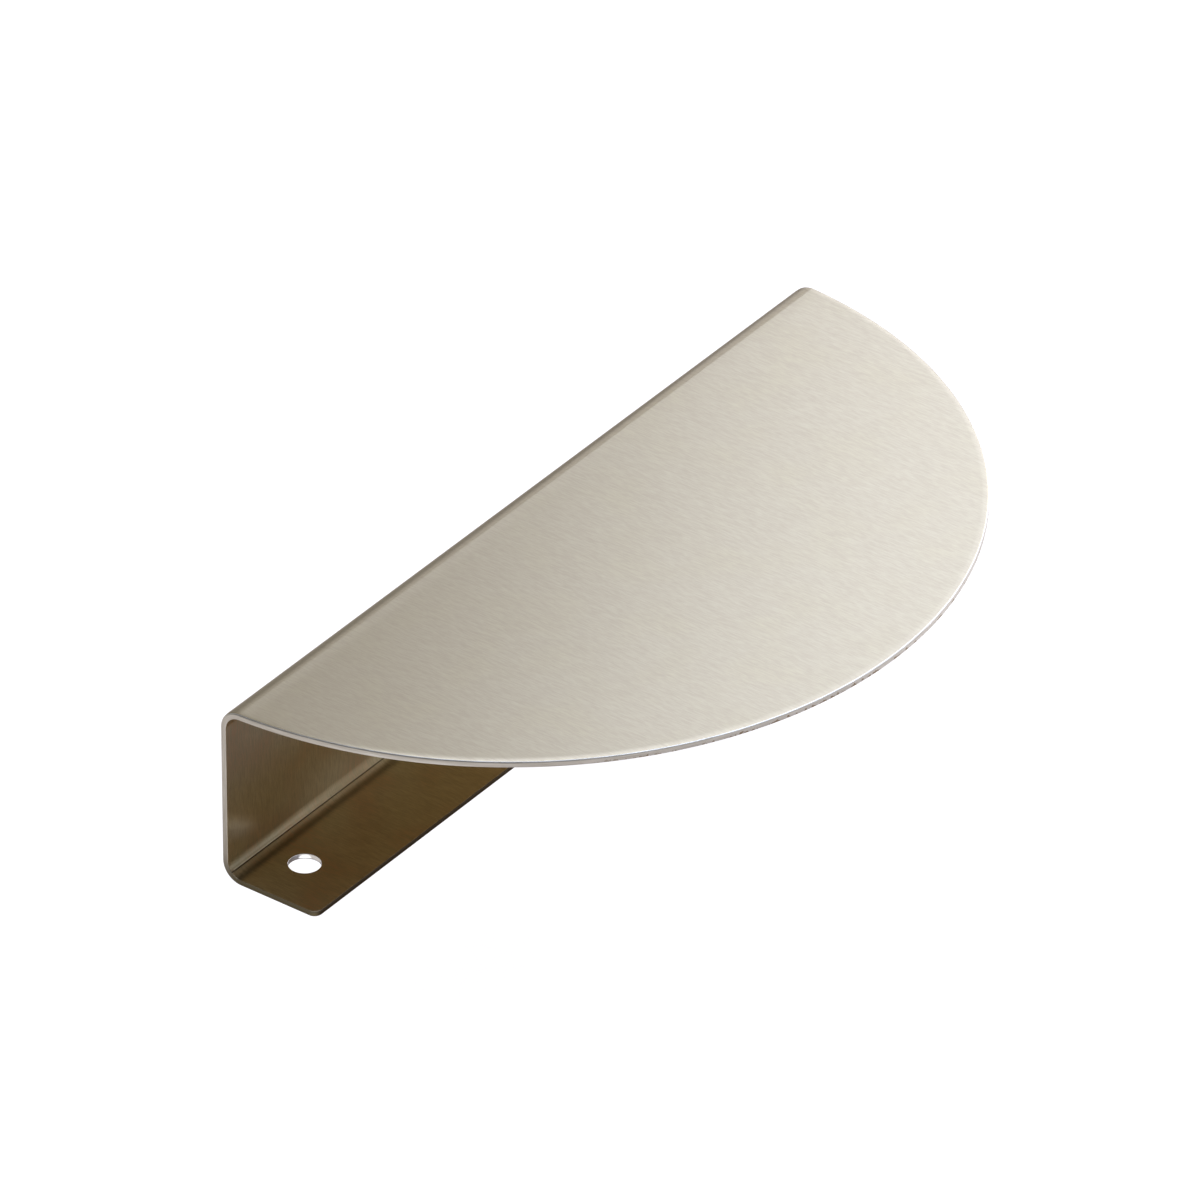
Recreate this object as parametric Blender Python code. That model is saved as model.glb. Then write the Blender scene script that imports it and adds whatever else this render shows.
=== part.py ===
# Half-moon lip pull, a cabinet or drawer pull folded from one piece of sheet metal.
# It is made here as it is in the workshop: the flat blank is cut to its outline with two
# screw holes, its edges are deburred, and it is folded twice into a flange, a web and a
# half-moon plate.
#
# Metres, +Z up. X runs along the pull and the plate reaches towards -Y. The origin is on
# the flange's inner face, midway between the two screw holes.

from math import atan, cos, pi, radians, sin

import bmesh
import bpy

# Sheet
SHEET_THICKNESS = 0.00115
LOWER_BEND_INNER_RADIUS = 0.0025  # between the flange and the web
UPPER_BEND_INNER_RADIUS = 0.0028  # between the web and the plate
EDGE_ROUND = 0.00015  # what deburring takes off every cut edge

# Folded pull, measured outside
LENGTH = 0.152  # from end to end, along the folds
HEIGHT = 0.033  # from the flange's underside to the plate's top
PLATE_REACH = 0.076  # from the web's outer face to the crown of the half-moon
FLANGE_DEPTH = 0.0187  # from the web's outer face to the flange's free edge
FLANGE_CORNER_RADIUS = 0.0015

# Screw holes, one near each end of the flange
SCREW_HOLE_DIAMETER = 0.0053
SCREW_HOLE_FROM_END = 0.00975
SCREW_HOLE_FROM_WEB = 0.0089  # from the web's outer face

# Fineness of the round shapes
PLATE_ARC_STEPS = 120
CORNER_STEPS = 6
HOLE_STEPS = 40
BEND_STEPS = 12
EDGE_ROUND_RESOLUTION = 1
SMOOTH_UP_TO = radians(35)
SAME_POINT = 1e-6

# Brushed nickel on the whole sheet
METAL_NAME = "Brushed nickel"
METAL_COLOUR = (0.50, 0.46, 0.41, 1.0)
METAL_ROUGHNESS = 0.34

# The blank's five stretches, from the flange's free edge to the plate: how long each one
# is along the middle of the sheet, and how far it turns
QUARTER_TURN = pi / 2
LOWER_BEND_REACH = LOWER_BEND_INNER_RADIUS + SHEET_THICKNESS
UPPER_BEND_REACH = UPPER_BEND_INNER_RADIUS + SHEET_THICKNESS
PLATE_FLAT = PLATE_REACH - UPPER_BEND_REACH
STRETCHES = (
    (FLANGE_DEPTH - LOWER_BEND_REACH, 0.0),
    (QUARTER_TURN * (LOWER_BEND_INNER_RADIUS + SHEET_THICKNESS / 2), QUARTER_TURN),
    (HEIGHT - LOWER_BEND_REACH - UPPER_BEND_REACH, 0.0),
    (QUARTER_TURN * (UPPER_BEND_INNER_RADIUS + SHEET_THICKNESS / 2), QUARTER_TURN),
    (PLATE_FLAT, 0.0),
)
PLATE_START = sum(length for length, _ in STRETCHES[:-1])


def clear_scene():
    for obj in list(bpy.data.objects):
        bpy.data.objects.remove(obj, do_unlink=True)


def arc(centre_x, centre_y, radius, start, end, steps):
    """Points along an arc, its angles in radians from +X."""
    angles = [start + (end - start) * step / steps for step in range(steps + 1)]
    return [(centre_x + radius * cos(a), centre_y + radius * sin(a)) for a in angles]


def blank_outline():
    """The flat blank's outer edge, anticlockwise from the flange's free edge."""
    half = LENGTH / 2
    corner = FLANGE_CORNER_RADIUS
    right_corner = arc(half - corner, corner, corner, -QUARTER_TURN, 0.0, CORNER_STEPS)
    left_corner = arc(corner - half, corner, corner, pi, 3 * QUARTER_TURN, CORNER_STEPS)
    # The half-moon's arc goes through both ends of its fold line and through its crown.
    half_angle = 2 * atan(PLATE_FLAT / half)
    radius = (half**2 + PLATE_FLAT**2) / (2 * PLATE_FLAT)
    half_moon = arc(
        0.0,
        PLATE_START + PLATE_FLAT - radius,
        radius,
        QUARTER_TURN - half_angle,
        QUARTER_TURN + half_angle,
        PLATE_ARC_STEPS,
    )
    return right_corner + half_moon + left_corner


def screw_hole(centre_x):
    """One screw hole's edge in the flat blank, clockwise."""
    centre_y = FLANGE_DEPTH - SCREW_HOLE_FROM_WEB
    radius = SCREW_HOLE_DIAMETER / 2
    return arc(centre_x, centre_y, radius, 2 * pi, 0.0, HOLE_STEPS)[:-1]


def add_loop(curve, points):
    spline = curve.splines.new("POLY")
    spline.points.add(len(points) - 1)
    for spline_point, (x, y) in zip(spline.points, points):
        spline_point.co = (x, y, 0.0, 1.0)
    spline.use_cyclic_u = True


def flat_blank():
    """The deburred flat blank as a mesh, its thickness centred on Z = 0."""
    curve = bpy.data.curves.new("blank_outline", "CURVE")
    curve.dimensions = "2D"
    curve.fill_mode = "BOTH"
    curve.extrude = SHEET_THICKNESS / 2 - EDGE_ROUND
    curve.bevel_depth = EDGE_ROUND
    curve.bevel_resolution = EDGE_ROUND_RESOLUTION
    curve.offset = -EDGE_ROUND
    add_loop(curve, blank_outline())
    hole_x = LENGTH / 2 - SCREW_HOLE_FROM_END
    add_loop(curve, screw_hole(-hole_x))
    add_loop(curve, screw_hole(hole_x))

    outline = bpy.data.objects.new("blank_outline", curve)
    bpy.context.scene.collection.objects.link(outline)
    graph = bpy.context.evaluated_depsgraph_get()
    mesh = bpy.data.meshes.new_from_object(outline.evaluated_get(graph))
    bpy.data.objects.remove(outline, do_unlink=True)
    return mesh


def bend_lines():
    """Where the blank is creased: both ends of each bend, and the steps between them."""
    lines = []
    start = 0.0
    for length, turn in STRETCHES:
        if turn:
            lines += [start + length * step / BEND_STEPS for step in range(BEND_STEPS + 1)]
        start += length
    return lines


def folded(point):
    """Where a point of the flat blank lies once both folds are made."""
    across = point.y
    y = SCREW_HOLE_FROM_WEB - FLANGE_DEPTH
    z = -SHEET_THICKNESS / 2
    heading = 0.0
    for length, turn in STRETCHES:
        done = across if length == PLATE_FLAT and turn == 0.0 else min(across, length)
        if turn:
            radius = length / turn
            new_heading = heading + done / radius
            y += radius * (sin(new_heading) - sin(heading))
            z += radius * (cos(heading) - cos(new_heading))
            heading = new_heading
        else:
            y += done * cos(heading)
            z += done * sin(heading)
        across -= done
        if across <= 0.0:
            break
    return (point.x, y - point.z * sin(heading), z + point.z * cos(heading))


def fold(mesh):
    """Creases the flat blank along its bend lines and folds it."""
    bm = bmesh.new()
    bm.from_mesh(mesh)
    bmesh.ops.remove_doubles(bm, verts=bm.verts, dist=SAME_POINT)
    for line in bend_lines():
        bmesh.ops.bisect_plane(
            bm,
            geom=bm.verts[:] + bm.edges[:] + bm.faces[:],
            dist=EDGE_ROUND / 10,
            plane_co=(0.0, line, 0.0),
            plane_no=(0.0, 1.0, 0.0),
            use_snap_center=True,
        )
    for vert in bm.verts:
        vert.co = folded(vert.co)
    bm.to_mesh(mesh)
    bm.free()


def metal():
    material = bpy.data.materials.new(METAL_NAME)
    material.use_nodes = True
    shader = material.node_tree.nodes["Principled BSDF"]
    shader.inputs["Base Color"].default_value = METAL_COLOUR
    shader.inputs["Metallic"].default_value = 1.0
    shader.inputs["Roughness"].default_value = METAL_ROUGHNESS
    return material


def lip_pull(collection):
    mesh = flat_blank()
    mesh.name = "lip_pull"
    fold(mesh)
    mesh.materials.clear()
    mesh.materials.append(metal())
    mesh.shade_smooth()
    mesh.set_sharp_from_angle(angle=SMOOTH_UP_TO)
    collection.objects.link(bpy.data.objects.new("lip_pull", mesh))


def main():
    clear_scene()
    collection = bpy.data.collections.new("Lip pull")
    bpy.context.scene.collection.children.link(collection)
    lip_pull(collection)


main()
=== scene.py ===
from math import atan, cos, pi, radians, sin, sqrt

import bmesh
import bpy
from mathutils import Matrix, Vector


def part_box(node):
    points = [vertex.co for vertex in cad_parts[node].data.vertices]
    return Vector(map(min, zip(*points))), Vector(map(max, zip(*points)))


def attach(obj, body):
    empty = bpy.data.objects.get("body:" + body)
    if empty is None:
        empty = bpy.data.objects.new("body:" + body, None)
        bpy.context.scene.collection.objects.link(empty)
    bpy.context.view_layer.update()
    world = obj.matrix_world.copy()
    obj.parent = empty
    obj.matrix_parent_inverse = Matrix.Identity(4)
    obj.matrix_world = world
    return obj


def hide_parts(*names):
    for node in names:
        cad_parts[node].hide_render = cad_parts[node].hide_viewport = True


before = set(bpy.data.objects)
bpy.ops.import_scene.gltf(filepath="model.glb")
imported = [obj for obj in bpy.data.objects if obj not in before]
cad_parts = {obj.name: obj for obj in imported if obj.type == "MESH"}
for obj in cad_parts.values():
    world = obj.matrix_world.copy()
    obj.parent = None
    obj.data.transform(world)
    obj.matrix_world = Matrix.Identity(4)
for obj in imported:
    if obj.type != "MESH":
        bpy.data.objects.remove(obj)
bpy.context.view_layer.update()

pullLow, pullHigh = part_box("lip_pull")
quarterTurn = pi / 2


# sRGB hex to Blender's linear colour
def linearColour(hexColour, alpha=1.0):
    channels = []
    for start in (1, 3, 5):
        value = int(hexColour[start:start + 2], 16) / 255
        channels.append(value / 12.92 if value <= 0.04045 else ((value + 0.055) / 1.055) ** 2.4)
    return (*channels, alpha)


def addNode(tree, kind, inputs=None, **settings):
    node = tree.nodes.new(kind)
    for name, value in settings.items():
        setattr(node, name, value)
    for socket, value in (inputs or {}).items():
        if isinstance(value, bpy.types.NodeSocket):
            tree.links.new(value, node.inputs[socket])
        else:
            node.inputs[socket].default_value = value
    return node


# The folded sheet, in metres. Its length, height and reach come from the frame.
foldedSheet = {
    "thickness": 0.00115,
    "lowerBendInnerRadius": 0.0025,
    "upperBendInnerRadius": 0.0028,
    "outerRound": 0.00033,      # the edge's rounding beside the outer face
    "innerRound": 0.0001,       # and beside the inner face
    "rollWidth": 0.0012,        # the outer face sinks a little towards its edge
    "rollDrop": 0.00009,
    "flangeDepth": 0.0187,
    "flangeCornerRadius": 0.0015,
    "holeDiameter": 0.0053,
    "holeFromEnd": 0.00975,
    "holeFromWeb": 0.0089,
    "creaseFromEnd": 0.0006,
    "creaseWebWidth": 0.00035,  # from its bottom up towards the web
    "creaseFlangeWidth": 0.00014,
    "creaseDepth": 0.00007,
    "outerCut": 0.35,           # share of each rounding that belongs to the cut edge
    "innerCut": 0.3,
    "skin": 0.49,               # share of the thickness above which a point is on the inner face
    "arcSteps": 360,
    "cornerSteps": 12,
    "holeSteps": 96,
    "bendSteps": 40,
    "rollSteps": 11,
    "samePoint": 1e-7,
    "snap": 2e-6,               # a cut this near to a point goes through it
    "innerUvShift": 0.2,        # the inner face has its own place in the UV map
}


def arc(centreX, centreY, radius, start, end, steps):
    angles = [start + (end - start) * step / steps for step in range(steps + 1)]
    return [(centreX + radius * cos(a), centreY + radius * sin(a)) for a in angles]


# How long each stretch of the sheet is along its middle, and the middle's radius in each bend
def sheetStretches():
    spec = foldedSheet
    lowerReach = spec["lowerBendInnerRadius"] + spec["thickness"]
    upperReach = spec["upperBendInnerRadius"] + spec["thickness"]
    lowerRadius = lowerReach - spec["thickness"] / 2
    upperRadius = upperReach - spec["thickness"] / 2
    return {
        "flange": spec["flangeDepth"] - lowerReach,
        "lowerBend": quarterTurn * lowerRadius,
        "web": (pullHigh.z - pullLow.z) - lowerReach - upperReach,
        "upperBend": quarterTurn * upperRadius,
        "plate": (pullHigh.y - pullLow.y) - upperReach,
        "lowerRadius": lowerRadius,
        "upperRadius": upperRadius,
    }


# How far the face lies below its full height, this far in from the cut edge
def edgeDrop(inset, roundness, rollDrop=0.0):
    spec = foldedSheet
    rolled = rollDrop * (1 - inset / spec["rollWidth"]) ** 2
    if inset >= roundness:
        return rolled
    return rolled + roundness - sqrt(roundness ** 2 - (roundness - inset) ** 2)


# The flat blank, deburred, as a mesh with its thickness centred on Z = 0
def cutBlank():
    spec = foldedSheet
    flat = sheetStretches()
    half = (pullHigh.x - pullLow.x) / 2
    corner = spec["flangeCornerRadius"]
    plateStart = flat["flange"] + flat["lowerBend"] + flat["web"] + flat["upperBend"]
    halfAngle = 2 * atan(flat["plate"] / half)
    radius = (half ** 2 + flat["plate"] ** 2) / (2 * flat["plate"])
    outline = arc(half - corner, corner, corner, -quarterTurn, 0, spec["cornerSteps"])
    outline += arc(0, plateStart + flat["plate"] - radius, radius,
                   quarterTurn - halfAngle, quarterTurn + halfAngle, spec["arcSteps"])
    outline += arc(corner - half, corner, corner, pi, 3 * quarterTurn, spec["cornerSteps"])
    loops = [outline]
    holeX = half - spec["holeFromEnd"]
    for x in (-holeX, holeX):
        loops.append(arc(x, spec["flangeDepth"] - spec["holeFromWeb"], spec["holeDiameter"] / 2,
                         2 * pi, 0, spec["holeSteps"])[:-1])

    curve = bpy.data.curves.new("blank", "CURVE")
    curve.dimensions = "2D"
    curve.fill_mode = "BOTH"
    curve.extrude = spec["thickness"] / 2
    curve.bevel_depth = spec["rollWidth"]
    curve.bevel_resolution = spec["rollSteps"]
    curve.offset = -spec["rollWidth"]
    for loop in loops:
        spline = curve.splines.new("POLY")
        spline.points.add(len(loop) - 1)
        for point, (x, y) in zip(spline.points, loop):
            point.co = (x, y, 0, 1)
        spline.use_cyclic_u = True
    blank = bpy.data.objects.new("blank", curve)
    bpy.context.scene.collection.objects.link(blank)
    graph = bpy.context.evaluated_depsgraph_get()
    mesh = bpy.data.meshes.new_from_object(blank.evaluated_get(graph))
    bpy.data.objects.remove(blank)

    # the curve's round edge is as wide as the roll; each of its rings goes to its own height
    for vert in mesh.vertices:
        rise = min(1.0, max(0.0, abs(vert.co.z) - curve.extrude) / spec["rollWidth"])
        inset = spec["rollWidth"] * (1 - sqrt(1 - rise ** 2))
        if vert.co.z < 0:
            drop = edgeDrop(inset, spec["outerRound"], spec["rollDrop"])
            vert.co.z = drop - spec["thickness"] / 2
        else:
            vert.co.z = spec["thickness"] / 2 - edgeDrop(inset, spec["innerRound"])
    return mesh


# Cuts the blank's faces along every line where it will bend
def creaseBlank(mesh):
    spec = foldedSheet
    flat = sheetStretches()
    upperStart = flat["flange"] + flat["lowerBend"] + flat["web"]
    bends = ((flat["flange"], flat["lowerBend"]), (upperStart, flat["upperBend"]))
    lines = [start + length * step / spec["bendSteps"]
             for start, length in bends for step in range(spec["bendSteps"] + 1)]
    middle = flat["flange"] + flat["lowerBend"] / 2
    lines += [middle - spec["creaseFlangeWidth"] * share for share in (0.5, 1)]
    lines += [middle + spec["creaseWebWidth"] * share for share in (0.5, 1)]
    half = (pullHigh.x - pullLow.x) / 2
    ends = [side * (half - spec["creaseFromEnd"] * share) for side in (-1, 1) for share in (1, 2)]
    cuts = [(Vector((0, line, 0)), Vector((0, 1, 0))) for line in lines]
    cuts += [(Vector((end, 0, 0)), Vector((1, 0, 0))) for end in ends]
    bm = bmesh.new()
    bm.from_mesh(mesh)
    bmesh.ops.remove_doubles(bm, verts=bm.verts, dist=spec["samePoint"])
    for place, normal in cuts:
        bmesh.ops.bisect_plane(bm, geom=bm.verts[:] + bm.edges[:] + bm.faces[:],
                               dist=spec["snap"], plane_co=place, plane_no=normal,
                               use_snap_center=True)
    bm.to_mesh(mesh)
    bm.free()
    mesh.shade_smooth()


# The fold as a rule: each point of the flat blank is carried along flange, bend, web, bend
# and plate
def foldTree():
    tree = bpy.data.node_groups.new("fold the sheet", "GeometryNodeTree")
    face = tree.interface
    face.new_socket("Geometry", in_out="INPUT", socket_type="NodeSocketGeometry")
    sizes = ["Flange flat", "Web flat", "Lower radius", "Upper radius", "Thickness", "Start Y",
             "Start Z", "Crease depth", "Crease web width", "Crease flange width",
             "Crease half length", "Crease end", "Outer round", "Inner round", "Hole X",
             "Hole across", "Hole reach"]
    for name in sizes:
        face.new_socket(name, in_out="INPUT", socket_type="NodeSocketFloat")
    for name in ("Face metal", "Edge metal"):
        face.new_socket(name, in_out="INPUT", socket_type="NodeSocketMaterial")
    face.new_socket("Geometry", in_out="OUTPUT", socket_type="NodeSocketGeometry")

    given = addNode(tree, "NodeGroupInput")
    place = addNode(tree, "ShaderNodeSeparateXYZ", {
        "Vector": addNode(tree, "GeometryNodeInputPosition").outputs[0],
    })
    value = {name: given.outputs[name] for name in sizes}
    value.update(along=place.outputs["X"], across=place.outputs["Y"], through=place.outputs["Z"])
    # each step is a name, what it does, and the two or three values that it does it to
    steps = [
        ("bend 1 length", "MULTIPLY", "Lower radius", quarterTurn),
        ("bend 2 length", "MULTIPLY", "Upper radius", quarterTurn),
        ("flange run", "MINIMUM", "across", "Flange flat"),
        ("past flange", "SUBTRACT", "across", "Flange flat"),
        ("into bend 1", "DIVIDE", "past flange", "bend 1 length"),
        ("share 1 low", "MAXIMUM", "into bend 1", 0.0),
        ("share 1", "MINIMUM", "share 1 low", 1.0),
        ("turn 1", "MULTIPLY", "share 1", quarterTurn),
        ("past bend 1", "SUBTRACT", "past flange", "bend 1 length"),
        ("web low", "MAXIMUM", "past bend 1", 0.0),
        ("web run", "MINIMUM", "web low", "Web flat"),
        ("past web", "SUBTRACT", "past bend 1", "Web flat"),
        ("into bend 2", "DIVIDE", "past web", "bend 2 length"),
        ("share 2 low", "MAXIMUM", "into bend 2", 0.0),
        ("share 2", "MINIMUM", "share 2 low", 1.0),
        ("turn 2", "MULTIPLY", "share 2", quarterTurn),
        ("past bend 2", "SUBTRACT", "past web", "bend 2 length"),
        ("plate run", "MAXIMUM", "past bend 2", 0.0),
        ("heading", "ADD", "turn 1", "turn 2"),
        ("sin 1", "SINE", "turn 1"),
        ("cos 1", "COSINE", "turn 1"),
        ("sin 2", "SINE", "turn 2"),
        ("cos 2", "COSINE", "turn 2"),
        ("sin heading", "SINE", "heading"),
        ("cos heading", "COSINE", "heading"),
        # the crease that the punch leaves along the middle of the lower bend's inner side
        ("half bend", "MULTIPLY", "bend 1 length", 0.5),
        ("from crease", "SUBTRACT", "past flange", "half bend"),
        ("towards flange", "MULTIPLY", "from crease", -1.0),
        ("web side", "DIVIDE", "from crease", "Crease web width"),
        ("flange side", "DIVIDE", "towards flange", "Crease flange width"),
        ("crease share", "MAXIMUM", "web side", "flange side"),
        ("crease rise", "SUBTRACT", 1.0, "crease share"),
        ("crease shape", "MAXIMUM", "crease rise", 0.0),
        ("end gap", "ABSOLUTE", "along"),
        ("end left", "SUBTRACT", "Crease half length", "end gap"),
        ("end share", "DIVIDE", "end left", "Crease end"),
        ("end low", "MAXIMUM", "end share", 0.0),
        ("end fade", "MINIMUM", "end low", 1.0),
        ("skin", "MULTIPLY", "Thickness", foldedSheet["skin"]),
        ("inner side", "GREATER_THAN", "through", "skin"),
        ("crease full", "MULTIPLY", "crease shape", "end fade"),
        ("crease inner", "MULTIPLY", "crease full", "inner side"),
        ("crease", "MULTIPLY", "crease inner", "Crease depth"),
        ("depth", "SUBTRACT", "through", "crease"),
        # back to Y and Z
        ("y 1", "ADD", "Start Y", "flange run"),
        ("y 2", "MULTIPLY_ADD", "Lower radius", "sin 1", "y 1"),
        ("y 3", "SUBTRACT", "cos 2", 1.0),
        ("y 4", "MULTIPLY_ADD", "Upper radius", "y 3", "y 2"),
        ("y 5", "SUBTRACT", "y 4", "plate run"),
        ("y out", "MULTIPLY", "depth", "sin heading"),
        ("y", "SUBTRACT", "y 5", "y out"),
        ("z 1", "SUBTRACT", 1.0, "cos 1"),
        ("z 2", "MULTIPLY_ADD", "Lower radius", "z 1", "Start Z"),
        ("z 3", "ADD", "z 2", "web run"),
        ("z 4", "MULTIPLY_ADD", "Upper radius", "sin 2", "z 3"),
        ("z", "MULTIPLY_ADD", "depth", "cos heading", "z 4"),
        # the cut edge is the wall and the steep part of each rounding
        ("half sheet", "MULTIPLY", "Thickness", 0.5),
        ("outer cut", "MULTIPLY", "Outer round", foldedSheet["outerCut"]),
        ("outer edge", "SUBTRACT", "outer cut", "half sheet"),
        ("inner cut", "MULTIPLY", "Inner round", foldedSheet["innerCut"]),
        ("inner edge", "SUBTRACT", "half sheet", "inner cut"),
        ("above outer", "GREATER_THAN", "through", "outer edge"),
        ("below inner", "LESS_THAN", "through", "inner edge"),
        ("on edge", "MULTIPLY", "above outer", "below inner"),
        # the walls of the two screw holes
        ("hole side", "SUBTRACT", "end gap", "Hole X"),
        ("hole ahead", "SUBTRACT", "across", "Hole across"),
        ("hole side square", "MULTIPLY", "hole side", "hole side"),
        ("hole square", "MULTIPLY_ADD", "hole ahead", "hole ahead", "hole side square"),
        ("hole gap", "SQRT", "hole square"),
        ("hole wall", "LESS_THAN", "hole gap", "Hole reach"),
        ("uv shift", "MULTIPLY", "inner side", foldedSheet["innerUvShift"]),
        ("uv along", "ADD", "along", "uv shift"),
    ]
    for name, operation, *terms in steps:
        inputs = {index: value.get(term, term) for index, term in enumerate(terms)}
        step = addNode(tree, "ShaderNodeMath", inputs, operation=operation, label=name)
        value[name] = step.outputs[0]

    developed = addNode(tree, "ShaderNodeCombineXYZ", {
        "X": value["uv along"], "Y": value["across"],
    })
    keepUv = addNode(tree, "GeometryNodeStoreNamedAttribute", {
        "Geometry": given.outputs["Geometry"], "Name": "UVMap", "Value": developed.outputs[0],
    }, data_type="FLOAT2", domain="CORNER")
    keepDepth = addNode(tree, "GeometryNodeStoreNamedAttribute", {
        "Geometry": keepUv.outputs[0], "Name": "sheetDepth", "Value": value["through"],
    }, data_type="FLOAT", domain="POINT")
    keepEdge = addNode(tree, "GeometryNodeStoreNamedAttribute", {
        "Geometry": keepDepth.outputs[0], "Name": "cutEdge", "Value": value["on edge"],
    }, data_type="BOOLEAN", domain="FACE")
    keepHole = addNode(tree, "GeometryNodeStoreNamedAttribute", {
        "Geometry": keepEdge.outputs[0], "Name": "holeWall", "Value": value["hole wall"],
    }, data_type="FLOAT", domain="POINT")
    folded = addNode(tree, "ShaderNodeCombineXYZ", {
        "X": value["along"], "Y": value["y"], "Z": value["z"],
    })
    moved = addNode(tree, "GeometryNodeSetPosition", {
        "Geometry": keepHole.outputs[0], "Position": folded.outputs[0],
    })
    edge = addNode(tree, "GeometryNodeInputNamedAttribute", {"Name": "cutEdge"},
                   data_type="BOOLEAN")
    faces = addNode(tree, "GeometryNodeSetMaterial", {
        "Geometry": moved.outputs[0], "Material": given.outputs["Face metal"],
    })
    edges = addNode(tree, "GeometryNodeSetMaterial", {
        "Geometry": faces.outputs[0], "Selection": edge.outputs[0],
        "Material": given.outputs["Edge metal"],
    })
    real = addNode(tree, "GeometryNodeRealizeInstances", {"Geometry": edges.outputs[0]})
    addNode(tree, "NodeGroupOutput", {"Geometry": real.outputs[0]})
    return tree


def foldSheet(mesh, faceMetal, edgeMetal):
    spec = foldedSheet
    flat = sheetStretches()
    half = (pullHigh.x - pullLow.x) / 2
    sheet = bpy.data.objects.new("foldedSheet", mesh)
    bpy.context.scene.collection.objects.link(sheet)
    modifier = sheet.modifiers.new("fold", "NODES")
    modifier.node_group = foldTree()
    given = {
        "Flange flat": flat["flange"],
        "Web flat": flat["web"],
        "Lower radius": flat["lowerRadius"],
        "Upper radius": flat["upperRadius"],
        "Thickness": spec["thickness"],
        "Start Y": pullHigh.y - spec["flangeDepth"],
        "Start Z": pullLow.z + spec["thickness"] / 2,
        "Crease depth": spec["creaseDepth"],
        "Crease web width": spec["creaseWebWidth"],
        "Crease flange width": spec["creaseFlangeWidth"],
        "Crease half length": half - spec["creaseFromEnd"],
        "Crease end": spec["creaseFromEnd"],
        "Outer round": spec["outerRound"],
        "Inner round": spec["innerRound"],
        "Hole X": half - spec["holeFromEnd"],
        "Hole across": spec["flangeDepth"] - spec["holeFromWeb"],
        "Hole reach": spec["holeDiameter"] / 2 + spec["outerRound"],
        "Face metal": faceMetal,
        "Edge metal": edgeMetal,
    }
    for item in modifier.node_group.interface.items_tree:
        if item.in_out == "INPUT" and item.name in given:
            modifier[item.identifier] = given[item.name]
    weighted = sheet.modifiers.new("flat faces stay flat", "WEIGHTED_NORMAL")
    weighted.weight = 100
    graph = bpy.context.evaluated_depsgraph_get()
    done = bpy.data.meshes.new_from_object(sheet.evaluated_get(graph),
                                           preserve_all_data_layers=True, depsgraph=graph)
    sheet.modifiers.clear()
    sheet.data = done
    done.name = "foldedSheet"
    return sheet


# Brushed nickel: steel sheet, nickel plated and satin brushed across the folds. Each brush line
# lies in its own narrow column, and together they smear highlights sideways. Inside the channel,
# near the lower bend, the nickel is painted warmer and lighter as painted bounced light between
# its faces, and painted shade lines darken it along the corner. The brush hardly reached the
# corner of the lower bend, where the finish is rough and its strokes turn along the fold.
brushedNickel = {
    "colour": "#AB9F86",
    "darkColour": "#A2957E",
    "insideBounceColour": "#CFC2A1",
    "insideBounceDarkColour": "#BBAE8E",
    "insideBounceFade": (0.036, 0.085),       # from the lower bend, in metres along the sheet
    "roughness": 0.30,
    "cornerRoughness": 0.54,
    "cornerReach": (0.014, 0.0026),     # up the web and along the flange
    "openEnds": (0.004, 0.030),         # the brush got in from the pull's ends, this far
    "bendRoughness": 0.38,              # outside the upper bend
    "bendReach": (0.0015, 0.0055),
    # painted shade lines by the corner, in the crease and beside it: how far up the sheet, half
    # their width, and what share of the tint is left in them, away from the pull's ends and at its
    # ends
    "paintedShadeLines": (
        (0.0, 0.00022, 0.25, 0.25),
        (-0.0018, 0.0014, 0.6, 0.45),
        (0.0007, 0.0024, 1.0, 0.42),
    ),
    "roughnessSpread": 0.014,
    "anisotropy": 0.6,
    "brushLines": ((0.00008, 0.0013), (0.0002, 0.0032)),    # width and length in metres
    "lineContrast": (0.7, 1.3),         # sums of two noises that are all dark and all bright
    "columnStart": 0.618,               # how much further on the next column's lines start
    "columnApart": 7.31,                # how far apart in the noise two columns are
    "lineHeight": 0.0000004,
    "patchColour": "#AB9F84",
    "insideBouncePatchColour": "#CBAC89",
    "patchSize": 0.011,
    "patchContrast": (0.45, 0.7),
}


def brushLineNoise(tree, along, across, width, length):
    column = addNode(tree, "ShaderNodeMath", {
        0: addNode(tree, "ShaderNodeMath", {0: along, 1: width}, operation="DIVIDE").outputs[0],
    }, operation="FLOOR")
    # each column starts its lines somewhere else
    start = addNode(tree, "ShaderNodeMath", {
        0: column.outputs[0], 1: brushedNickel["columnStart"],
    }, operation="MULTIPLY")
    place = addNode(tree, "ShaderNodeMath", {
        0: across, 1: 1 / length, 2: start.outputs[0],
    }, operation="MULTIPLY_ADD")
    apart = addNode(tree, "ShaderNodeMath", {
        0: column.outputs[0], 1: brushedNickel["columnApart"],
    }, operation="MULTIPLY")
    spot = addNode(tree, "ShaderNodeCombineXYZ", {
        "X": apart.outputs[0], "Y": place.outputs[0],
    })
    lines = addNode(tree, "ShaderNodeTexNoise", {
        "Vector": spot.outputs[0], "Scale": 1.0, "Detail": 1.0,
    }, noise_dimensions="2D")
    return lines.outputs["Fac"]


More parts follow.
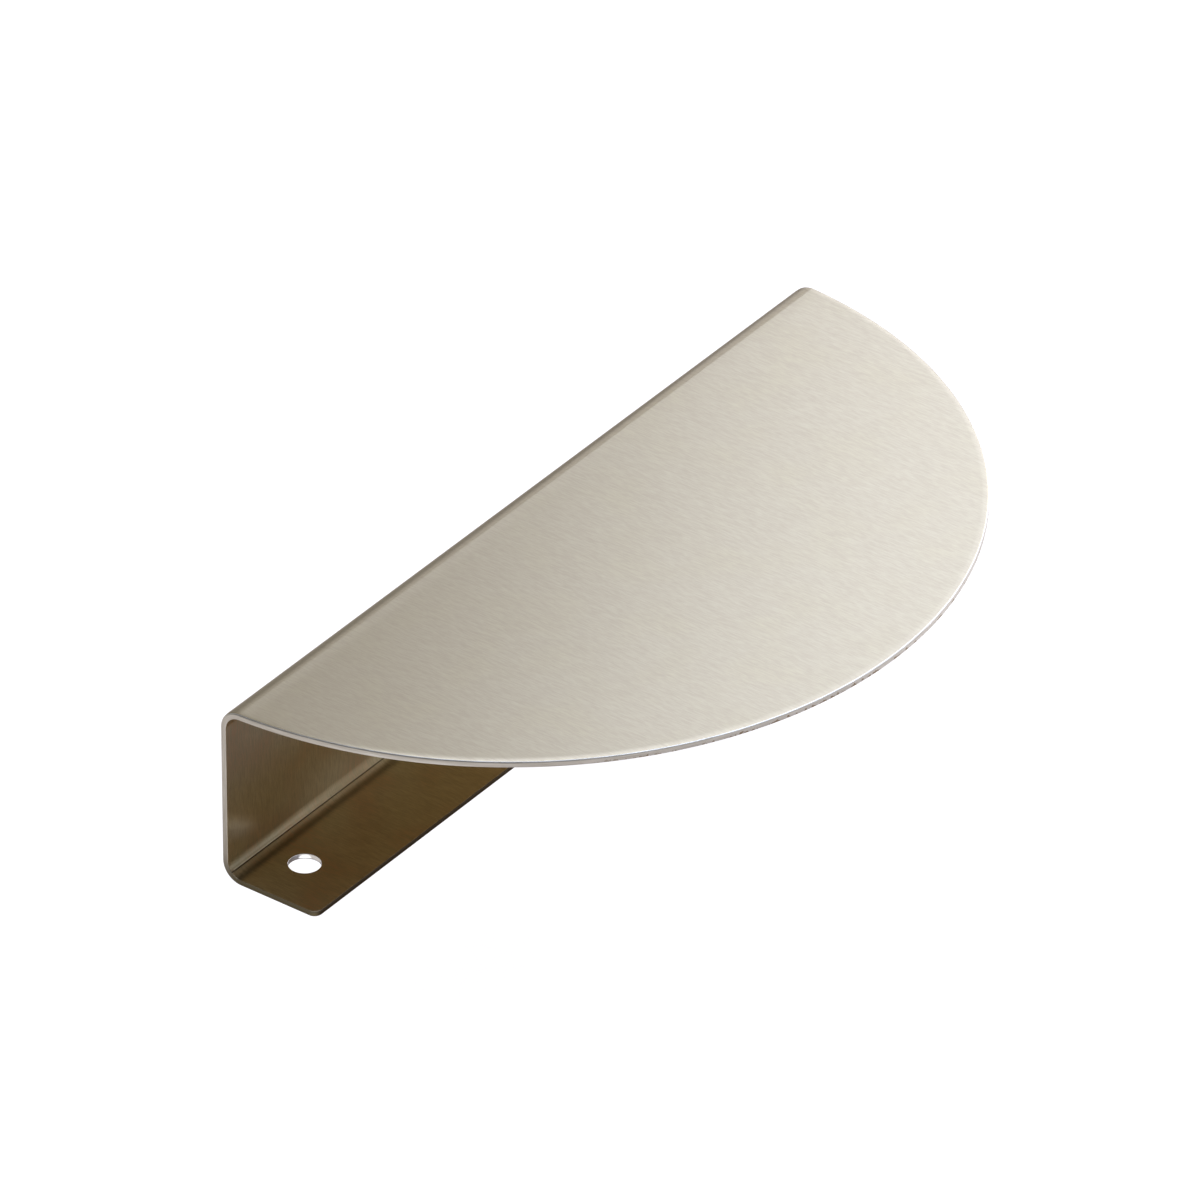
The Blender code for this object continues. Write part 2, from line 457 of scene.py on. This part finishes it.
def makeBrushedNickel():
    spec = brushedNickel
    material = bpy.data.materials.new("brushed nickel")
    material.use_nodes = True
    tree = material.node_tree
    tree.nodes.clear()
    uv = addNode(tree, "ShaderNodeUVMap", uv_map="UVMap")
    flat = addNode(tree, "ShaderNodeSeparateXYZ", {"Vector": uv.outputs[0]})
    fine, coarse = [brushLineNoise(tree, flat.outputs["X"], flat.outputs["Y"], width, length)
                    for width, length in spec["brushLines"]]
    lines = addNode(tree, "ShaderNodeMath", {0: fine, 1: coarse}, operation="ADD")
    spread = addNode(tree, "ShaderNodeMapRange", {
        "Value": lines.outputs[0],
        "From Min": spec["lineContrast"][0], "From Max": spec["lineContrast"][1],
    })
    patches = addNode(tree, "ShaderNodeTexNoise", {
        "Vector": uv.outputs[0], "Scale": 1 / spec["patchSize"], "Detail": 1.0,
    })
    patchShare = addNode(tree, "ShaderNodeMapRange", {
        "Value": patches.outputs["Fac"],
        "From Min": spec["patchContrast"][0], "From Max": spec["patchContrast"][1],
    })
    tintCopies = []
    for bright, patch, dark in (
        (spec["colour"], spec["patchColour"], spec["darkColour"]),
        (spec["insideBounceColour"], spec["insideBouncePatchColour"], spec["insideBounceDarkColour"]),
    ):
        plating = addNode(tree, "ShaderNodeMix", {
            "Factor": patchShare.outputs["Result"],
            "A": linearColour(bright),
            "B": linearColour(patch),
        }, data_type="RGBA")
        tintCopies.append(addNode(tree, "ShaderNodeMix", {
            "Factor": spread.outputs["Result"],
            "A": linearColour(dark),
            "B": plating.outputs["Result"],
        }, data_type="RGBA"))

    # how far along the sheet a point lies from the lower bend's corner, on the inner side
    sheetSide = addNode(tree, "ShaderNodeAttribute", attribute_name="sheetDepth")
    inside = addNode(tree, "ShaderNodeMath", {
        0: sheetSide.outputs["Fac"], 1: 0.0,
    }, operation="GREATER_THAN")
    stretches = sheetStretches()
    corner = stretches["flange"] + stretches["lowerBend"] / 2
    fromCorner = addNode(tree, "ShaderNodeMath", {
        0: flat.outputs["Y"], 1: corner,
    }, operation="SUBTRACT")
    cornerGap = addNode(tree, "ShaderNodeMath", {0: fromCorner.outputs[0]}, operation="ABSOLUTE")
    warmth = addNode(tree, "ShaderNodeMapRange", {
        "Value": cornerGap.outputs[0],
        "From Min": spec["insideBounceFade"][0], "From Max": spec["insideBounceFade"][1],
        "To Min": inside.outputs[0], "To Max": 0.0,
    })
    # painted bounced light: near the lower bend the inner face takes the warmer, lighter copy
    tint = addNode(tree, "ShaderNodeMix", {
        "Factor": warmth.outputs["Result"],
        "A": tintCopies[0].outputs["Result"],
        "B": tintCopies[1].outputs["Result"],
    }, data_type="RGBA")
    towardsWeb = addNode(tree, "ShaderNodeMath", {
        0: fromCorner.outputs[0], 1: 1 / spec["cornerReach"][0],
    }, operation="MULTIPLY")
    towardsFlange = addNode(tree, "ShaderNodeMath", {
        0: fromCorner.outputs[0], 1: -1 / spec["cornerReach"][1],
    }, operation="MULTIPLY")
    innerPlace = addNode(tree, "ShaderNodeMath", {
        0: flat.outputs["X"], 1: foldedSheet["innerUvShift"],
    }, operation="SUBTRACT")
    alongPull = addNode(tree, "ShaderNodeMath", {0: innerPlace.outputs[0]}, operation="ABSOLUTE")
    half = (pullHigh.x - pullLow.x) / 2
    awayFromEnds = addNode(tree, "ShaderNodeMapRange", {
        "Value": alongPull.outputs[0],
        "From Min": half - spec["openEnds"][1], "From Max": half - spec["openEnds"][0],
        "To Min": inside.outputs[0], "To Max": 0.0,
    }, interpolation_type="SMOOTHSTEP")
    outOfCorner = addNode(tree, "ShaderNodeMath", {
        0: towardsWeb.outputs[0], 1: towardsFlange.outputs[0],
    }, operation="MAXIMUM")
    cornerShare = addNode(tree, "ShaderNodeMapRange", {
        "Value": outOfCorner.outputs[0],
        "To Min": awayFromEnds.outputs["Result"], "To Max": 0.0,
    }, interpolation_type="SMOOTHSTEP")
    # the strokes turn along the corner: across it first, then none, then along it
    halfTurned = addNode(tree, "ShaderNodeMath", {
        0: cornerShare.outputs["Result"], 1: 0.5,
    }, operation="SUBTRACT")
    fromHalf = addNode(tree, "ShaderNodeMath", {0: halfTurned.outputs[0]}, operation="ABSOLUTE")
    strokes = addNode(tree, "ShaderNodeMapRange", {
        "Value": fromHalf.outputs[0], "From Max": 0.5, "To Max": spec["anisotropy"],
    })
    pastHalf = addNode(tree, "ShaderNodeMath", {
        0: halfTurned.outputs[0], 1: 0.0,
    }, operation="GREATER_THAN")
    # the socket counts in whole turns
    strokesTurned = addNode(tree, "ShaderNodeMath", {
        0: pastHalf.outputs[0], 1: quarterTurn / (2 * pi),
    }, operation="MULTIPLY")
    # the upper bend's outside is a little coarser, where the die rubbed it
    upperMiddle = (stretches["flange"] + stretches["lowerBend"] + stretches["web"]
                   + stretches["upperBend"] / 2)
    fromBend = addNode(tree, "ShaderNodeMath", {
        0: flat.outputs["Y"], 1: upperMiddle,
    }, operation="SUBTRACT")
    bendGap = addNode(tree, "ShaderNodeMath", {0: fromBend.outputs[0]}, operation="ABSOLUTE")
    bendShare = addNode(tree, "ShaderNodeMapRange", {
        "Value": bendGap.outputs[0],
        "From Min": spec["bendReach"][0], "From Max": spec["bendReach"][1],
        "To Min": 1.0, "To Max": 0.0,
    }, interpolation_type="SMOOTHSTEP")
    outerRoughness = addNode(tree, "ShaderNodeMapRange", {
        "Value": bendShare.outputs["Result"],
        "To Min": spec["roughness"], "To Max": spec["bendRoughness"],
    })
    tint = tint.outputs["Result"]
    atEnds = addNode(tree, "ShaderNodeMapRange", {
        "Value": alongPull.outputs[0],
        "From Min": half - spec["openEnds"][1], "From Max": half - spec["openEnds"][0],
    }, interpolation_type="SMOOTHSTEP")
    # painted shade lines on the inner face along the corner, darker at the pull's ends
    for place, halfWidth, left, leftAtEnds in spec["paintedShadeLines"]:
        share = addNode(tree, "ShaderNodeMix", {
            "Factor": atEnds.outputs["Result"], "A": left, "B": leftAtEnds,
        })
        fromLine = addNode(tree, "ShaderNodeMath", {
            0: fromCorner.outputs[0], 1: place,
        }, operation="SUBTRACT")
        lineGap = addNode(tree, "ShaderNodeMath", {0: fromLine.outputs[0]}, operation="ABSOLUTE")
        line = addNode(tree, "ShaderNodeMapRange", {
            "Value": lineGap.outputs[0],
            "From Max": halfWidth, "To Min": share.outputs["Result"], "To Max": 1.0,
        }, interpolation_type="SMOOTHSTEP")
        lineInside = addNode(tree, "ShaderNodeMix", {
            "Factor": inside.outputs[0], "A": 1.0, "B": line.outputs["Result"],
        })
        tint = addNode(tree, "ShaderNodeVectorMath", {
            0: tint, "Scale": lineInside.outputs["Result"],
        }, operation="SCALE").outputs[0]
    evenly = addNode(tree, "ShaderNodeMapRange", {
        "Value": cornerShare.outputs["Result"],
        "To Min": outerRoughness.outputs["Result"], "To Max": spec["cornerRoughness"],
    })
    rough = addNode(tree, "ShaderNodeMath", {
        0: spread.outputs["Result"], 1: -spec["roughnessSpread"], 2: evenly.outputs["Result"],
    }, operation="MULTIPLY_ADD")
    bump = addNode(tree, "ShaderNodeBump", {
        "Height": spread.outputs["Result"], "Distance": spec["lineHeight"], "Strength": 1.0,
    })
    tangent = addNode(tree, "ShaderNodeTangent", direction_type="UV_MAP", uv_map="UVMap")
    shader = addNode(tree, "ShaderNodeBsdfPrincipled", {
        "Base Color": tint,
        "Metallic": 1.0,
        "Roughness": rough.outputs[0],
        "Anisotropic": strokes.outputs["Result"],
        "Anisotropic Rotation": strokesTurned.outputs[0],
        "Tangent": tangent.outputs[0],
        "Normal": bump.outputs[0],
    })
    addNode(tree, "ShaderNodeOutputMaterial", {"Surface": shader.outputs[0]})
    return material


# Plated cut edge: the blank's edge, sheared and deburred before plating. Lighter than the
# faces, with fine lines that run along the edge and, except at the left end, torn specks beside
# the underside. Low down the edges are painted darker as painted shade, browner along the
# flange's free edge, and the holes' walls are reamed bright.
platedEdge = {
    "colour": "#F4F1EB",
    "darkColour": "#D3CFC7",
    "tornColour": "#A8967F",
    # painted shade for the edges low down: at the flange's ends, and browner along its free edge
    "lowShadeColour": "#665D46",
    "freeEdgeShadeColour": "#5A4B2F",
    "reamedColour": "#FFFFFF",
    "lowShadeBelow": -0.0006,       # metres above the flange's inner face
    "halfBrightAt": 0.004,
    "halfBright": 0.58,
    "brightAbove": 0.020,
    "roughness": 0.38,
    "reamedRoughness": 0.12,
    "lineWidth": 0.00016,       # metres, across the sheet
    "lineLength": 0.005,
    "lineHeight": 0.000004,
    "lineContrast": (0.3, 0.7),
    "tornDepth": (0.00005, 0.0006),     # least and most, from the underside up
    "tornLength": 0.0008,
    "tornContrast": (0.47, 0.72),
    "tornFrom": (-0.055, -0.045),       # where along the pull the specks fade in
}


def makePlatedEdge():
    spec = platedEdge
    material = bpy.data.materials.new("nickel plated cut edge")
    material.use_nodes = True
    tree = material.node_tree
    tree.nodes.clear()
    uv = addNode(tree, "ShaderNodeUVMap", uv_map="UVMap")
    depth = addNode(tree, "ShaderNodeAttribute", attribute_name="sheetDepth")
    flat = addNode(tree, "ShaderNodeSeparateXYZ", {"Vector": uv.outputs[0]})
    place = addNode(tree, "ShaderNodeCombineXYZ", {
        "X": flat.outputs["X"], "Y": flat.outputs["Y"], "Z": depth.outputs["Fac"],
    })
    stretched = addNode(tree, "ShaderNodeMapping", {
        "Vector": place.outputs[0],
        "Scale": (1 / spec["lineLength"], 1 / spec["lineLength"], 1 / spec["lineWidth"]),
    })
    lines = addNode(tree, "ShaderNodeTexNoise", {
        "Vector": stretched.outputs[0], "Scale": 1.0, "Detail": 3.0, "Roughness": 0.65,
    })
    spread = addNode(tree, "ShaderNodeMapRange", {
        "Value": lines.outputs["Fac"],
        "From Min": spec["lineContrast"][0], "From Max": spec["lineContrast"][1],
    })
    torn = addNode(tree, "ShaderNodeTexNoise", {
        "Vector": place.outputs[0], "Scale": 1 / spec["tornLength"], "Detail": 2.0,
    })
    # how far the torn zone reaches up from the underside changes along the edge
    reach = addNode(tree, "ShaderNodeMapRange", {
        "Value": torn.outputs["Fac"],
        "From Min": spec["tornContrast"][0], "From Max": spec["tornContrast"][1],
        "To Min": foldedSheet["thickness"] / 2 - spec["tornDepth"][0],
        "To Max": foldedSheet["thickness"] / 2 - spec["tornDepth"][1],
    })
    position = addNode(tree, "ShaderNodeSeparateXYZ", {
        "Vector": addNode(tree, "ShaderNodeTexCoord").outputs["Object"],
    })
    tornHere = addNode(tree, "ShaderNodeMapRange", {
        "Value": position.outputs["X"],
        "From Min": spec["tornFrom"][0], "From Max": spec["tornFrom"][1],
    })
    withinReach = addNode(tree, "ShaderNodeMath", {
        0: depth.outputs["Fac"], 1: reach.outputs["Result"],
    }, operation="GREATER_THAN")
    inTorn = addNode(tree, "ShaderNodeMath", {
        0: withinReach.outputs[0], 1: tornHere.outputs["Result"],
    }, operation="MULTIPLY")
    half = (pullHigh.x - pullLow.x) / 2
    fromMiddle = addNode(tree, "ShaderNodeMath", {0: position.outputs["X"]}, operation="ABSOLUTE")
    atEnd = addNode(tree, "ShaderNodeMapRange", {
        "Value": fromMiddle.outputs[0],
        "From Min": half - foldedSheet["flangeCornerRadius"], "From Max": half,
    })
    # painted shade low on the edges, browner along the flange's free edge than at its ends; by
    # height it lifts to the edge's own colour
    lowShade = addNode(tree, "ShaderNodeMix", {
        "Factor": atEnd.outputs["Result"],
        "A": linearColour(spec["freeEdgeShadeColour"]),
        "B": linearColour(spec["lowShadeColour"]),
    }, data_type="RGBA")
    lowShadeLift = addNode(tree, "ShaderNodeMapRange", {
        "Value": position.outputs["Z"],
        "From Min": spec["lowShadeBelow"], "From Max": spec["halfBrightAt"],
        "To Max": spec["halfBright"],
    })
    bright = addNode(tree, "ShaderNodeMapRange", {
        "Value": position.outputs["Z"],
        "From Min": spec["halfBrightAt"], "From Max": spec["brightAbove"],
        "To Min": lowShadeLift.outputs["Result"], "To Max": 1.0,
    })
    reamed = addNode(tree, "ShaderNodeAttribute", attribute_name="holeWall")
    tint = addNode(tree, "ShaderNodeMix", {
        "Factor": spread.outputs["Result"],
        "A": linearColour(spec["darkColour"]),
        "B": linearColour(spec["colour"]),
    }, data_type="RGBA")
    for share, under, over in (
        (inTorn.outputs[0], None, linearColour(spec["tornColour"])),
        (bright.outputs["Result"], lowShade.outputs["Result"], None),
        (reamed.outputs["Fac"], None, linearColour(spec["reamedColour"])),
    ):
        tint = addNode(tree, "ShaderNodeMix", {
            "Factor": share,
            "A": under or tint.outputs["Result"],
            "B": over or tint.outputs["Result"],
        }, data_type="RGBA")
    bump = addNode(tree, "ShaderNodeBump", {
        "Height": spread.outputs["Result"], "Distance": spec["lineHeight"], "Strength": 1.0,
    })
    rough = addNode(tree, "ShaderNodeMapRange", {
        "Value": reamed.outputs["Fac"],
        "To Min": spec["roughness"], "To Max": spec["reamedRoughness"],
    })
    shader = addNode(tree, "ShaderNodeBsdfPrincipled", {
        "Base Color": tint.outputs["Result"],
        "Metallic": 1.0,
        "Roughness": rough.outputs["Result"],
        "Normal": bump.outputs[0],
    })
    addNode(tree, "ShaderNodeOutputMaterial", {"Surface": shader.outputs[0]})
    return material


# Plain floor a little way below the pull, which is held up by its flange. The lamps shade it, and
# it is white to the camera. Metal doesn't see that white: it sees brown shade under the plate,
# dimmer paper around it and two brighter places, all set by trial for the photo's view.
paperFloor = {
    "colour": "#7C7676",
    "seenByCamera": "#F6F6F6",
    "shadeSeenByMetal": "#4A4238",
    "paperSeenByMetal": "#A69F90",
    # two brighter places: their colour, middle, and how far they are full and reach
    "brightSeenByMetal": (
        ("#D3CDC0", (0.18, -0.04), (0.06, 0.195)),
        ("#FFFFFF", (-0.097, -0.022), (0.022, 0.034)),
    ),
    "shadeAt": (0.0, -0.03),
    "shadeHalfSize": (0.078, 0.075),
    "shadeFade": (1.0, 1.4),    # shares of the half size where it starts and stops fading
    "side": 6.0,
    "below": 0.030,             # metres under the flange
}


# Light that a background adds for each kind of ray. Metal is given other, dimmer colours than
# the camera, so it doesn't reflect the background that the camera sees.
def seenColour(tree, byCamera, byMetal, otherwise):
    ray = addNode(tree, "ShaderNodeLightPath")
    colour = otherwise
    for socket, seen in (("Is Glossy Ray", byMetal), ("Is Transmission Ray", byCamera),
                         ("Is Camera Ray", byCamera)):
        colour = addNode(tree, "ShaderNodeMix", {
            "Factor": ray.outputs[socket], "A": colour, "B": seen,
        }, data_type="RGBA").outputs["Result"]
    return colour


def makeFloor():
    spec = paperFloor
    bpy.ops.mesh.primitive_plane_add(size=spec["side"], location=(0, 0, pullLow.z - spec["below"]))
    floor = bpy.context.object
    floor.name = "floor"
    material = bpy.data.materials.new("paper floor")
    material.use_nodes = True
    tree = material.node_tree
    tree.nodes.clear()
    paper = addNode(tree, "ShaderNodeBsdfDiffuse", {"Color": linearColour(spec["colour"])})
    place = addNode(tree, "ShaderNodeTexCoord")
    fromShade = addNode(tree, "ShaderNodeVectorMath", {
        0: place.outputs["Object"], 1: (*spec["shadeAt"], 0),
    }, operation="SUBTRACT")
    inHalfSizes = addNode(tree, "ShaderNodeVectorMath", {
        0: fromShade.outputs[0], 1: (*spec["shadeHalfSize"], 1),
    }, operation="DIVIDE")
    farness = addNode(tree, "ShaderNodeMapRange", {
        "Value": addNode(tree, "ShaderNodeVectorMath", {0: inHalfSizes.outputs[0]},
                         operation="LENGTH").outputs["Value"],
        "From Min": spec["shadeFade"][0], "From Max": spec["shadeFade"][1],
    }, interpolation_type="SMOOTHSTEP")
    byMetal = addNode(tree, "ShaderNodeMix", {
        "Factor": farness.outputs["Result"],
        "A": linearColour(spec["shadeSeenByMetal"]),
        "B": linearColour(spec["paperSeenByMetal"]),
    }, data_type="RGBA")
    for bright, middle, reach in spec["brightSeenByMetal"]:
        gap = addNode(tree, "ShaderNodeVectorMath", {
            0: place.outputs["Object"], 1: (*middle, 0),
        }, operation="DISTANCE")
        share = addNode(tree, "ShaderNodeMapRange", {
            "Value": gap.outputs["Value"], "From Min": reach[0], "From Max": reach[1],
            "To Min": 1.0, "To Max": 0.0,
        }, interpolation_type="SMOOTHSTEP")
        byMetal = addNode(tree, "ShaderNodeMix", {
            "Factor": share.outputs["Result"],
            "A": byMetal.outputs["Result"],
            "B": linearColour(bright),
        }, data_type="RGBA")
    glow = addNode(tree, "ShaderNodeEmission", {
        "Color": seenColour(tree, linearColour(spec["seenByCamera"]), byMetal.outputs["Result"],
                            linearColour("#000000")),
    })
    both = addNode(tree, "ShaderNodeAddShader", {0: paper.outputs[0], 1: glow.outputs[0]})
    addNode(tree, "ShaderNodeOutputMaterial", {"Surface": both.outputs[0]})
    floor.data.materials.append(material)


# The room is white to the camera. The pull is lit by and reflects a dimmer fill, which falls off
# towards the horizon and on the left. One large softbox, brighter than a plain level, hangs
# over the right front; its back edge is what the plate reflects, so the plate brightens towards
# its rim. A smaller one stands at the right end and lights the rim there, and two more show in
# the bends: one at the back right in the upper bend, a low one at the front in the lower.
studio = {
    "horizon": 0.36,
    "zenith": 0.65,
    "left": 0.26,               # share of the fill on the far left
    "leftFrom": -0.15,
    "leftTo": -0.6,
    "overhead": {
        "height": 0.60,
        "edgeAt": (0.640, 0.470),       # where its back edge passes, seen in the plate
        "edgeHeading": 0.45,            # slope of that edge from the pull's length
        "length": 2.05,
        "width": 1.3,
        "shift": -0.02,                 # along the edge
        "radiance": 2.73,
        "colour": "#CDDDFF",
    },
    "side": {
        "place": (0.75, -0.20, 0.20),
        "length": 0.70,
        "width": 0.42,
        "radiance": 1.4,
        "colour": "#F4F0FF",
    },
    "back": {
        "place": (0.592, 0.206, 0.165),
        "length": 0.62,
        "width": 0.35,
        "radiance": 1.38,
        "colour": "#E8ECFF",
    },
    "low": {
        "place": (0.858, -0.956, 0.15),
        "length": 0.7,
        "width": 0.34,
        "radiance": 0.60,
        "colour": "#E8F4FF",
    },
}


def addSoftbox(name, spec, place, turn=None):
    # unless it is turned some other way, it faces the pull
    lamp = bpy.data.lights.new(name, "AREA")
    lamp.shape = "RECTANGLE"
    lamp.size = spec["length"]
    lamp.size_y = spec["width"]
    lamp.energy = spec["radiance"] * pi * spec["length"] * spec["width"]
    lamp.color = linearColour(spec["colour"])[:3]
    softbox = bpy.data.objects.new(name, lamp)
    softbox.location = place
    softbox.rotation_euler = turn or (-Vector(place)).to_track_quat("-Z", "Y").to_euler()
    bpy.context.scene.collection.objects.link(softbox)


def lightStudio():
    world = bpy.data.worlds.new("studio")
    bpy.context.scene.world = world
    world.use_nodes = True
    tree = world.node_tree
    tree.nodes.clear()
    direction = addNode(tree, "ShaderNodeSeparateXYZ", {
        "Vector": addNode(tree, "ShaderNodeTexCoord").outputs["Generated"],
    })
    byHeight = addNode(tree, "ShaderNodeMapRange", {
        "Value": direction.outputs["Z"], "To Min": studio["horizon"], "To Max": studio["zenith"],
    })
    bySide = addNode(tree, "ShaderNodeMapRange", {
        "Value": direction.outputs["X"],
        "From Min": studio["leftFrom"], "From Max": studio["leftTo"],
        "To Min": 1.0, "To Max": studio["left"],
    })
    fill = addNode(tree, "ShaderNodeMath", {
        0: byHeight.outputs["Result"], 1: bySide.outputs["Result"],
    }, operation="MULTIPLY")
    light = addNode(tree, "ShaderNodeBackground", {
        "Color": seenColour(tree, linearColour("#FFFFFF"), fill.outputs[0], fill.outputs[0]),
    })
    addNode(tree, "ShaderNodeOutputWorld", {"Surface": light.outputs[0]})

    spec = studio["overhead"]
    turn = atan(spec["edgeHeading"])
    edge = Vector((*spec["edgeAt"], spec["height"]))
    alongEdge = Vector((cos(turn), sin(turn), 0))
    inward = Vector((sin(turn), -cos(turn), 0))
    place = edge + alongEdge * spec["shift"] + inward * spec["width"] / 2
    addSoftbox("overhead softbox", spec, place, (0, 0, turn))
    for name in ("side", "back", "low"):
        addSoftbox(name + " softbox", studio[name], studio[name]["place"])


# A long lens from the pull's left front, as the photograph was taken
photoCamera = {
    "azimuth": -53.21,
    "elevation": 34.32,
    "distance": 2.585,
    "lens": 483.0,
    "sensorWidth": 36,
    "clipEnd": 20,
    "aim": (0.01266, 0.00094, 0.00671),
}


def placeCamera():
    spec = photoCamera
    azimuth, elevation = radians(spec["azimuth"]), radians(spec["elevation"])
    back = Vector((sin(azimuth) * cos(elevation), -cos(azimuth) * cos(elevation), sin(elevation)))
    camera = bpy.data.objects.new("camera", bpy.data.cameras.new("camera"))
    camera.data.lens = spec["lens"]
    camera.data.sensor_width = spec["sensorWidth"]
    camera.data.clip_end = spec["clipEnd"]
    camera.location = Vector(spec["aim"]) + back * spec["distance"]
    camera.rotation_euler = back.to_track_quat("Z", "Y").to_euler()
    bpy.context.scene.collection.objects.link(camera)
    bpy.context.scene.camera = camera


placeCamera()
print("camera placed")
faceMetal = makeBrushedNickel()
edgeMetal = makePlatedEdge()
blankMesh = cutBlank()
creaseBlank(blankMesh)
print("blank cut:", len(blankMesh.polygons), "faces")
sheet = foldSheet(blankMesh, faceMetal, edgeMetal)
print("sheet folded:", len(sheet.data.polygons), "faces")
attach(sheet, "root")
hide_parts("lip_pull")
makeFloor()
lightStudio()
bpy.context.scene.view_settings.view_transform = "Standard"
print("studio lit")
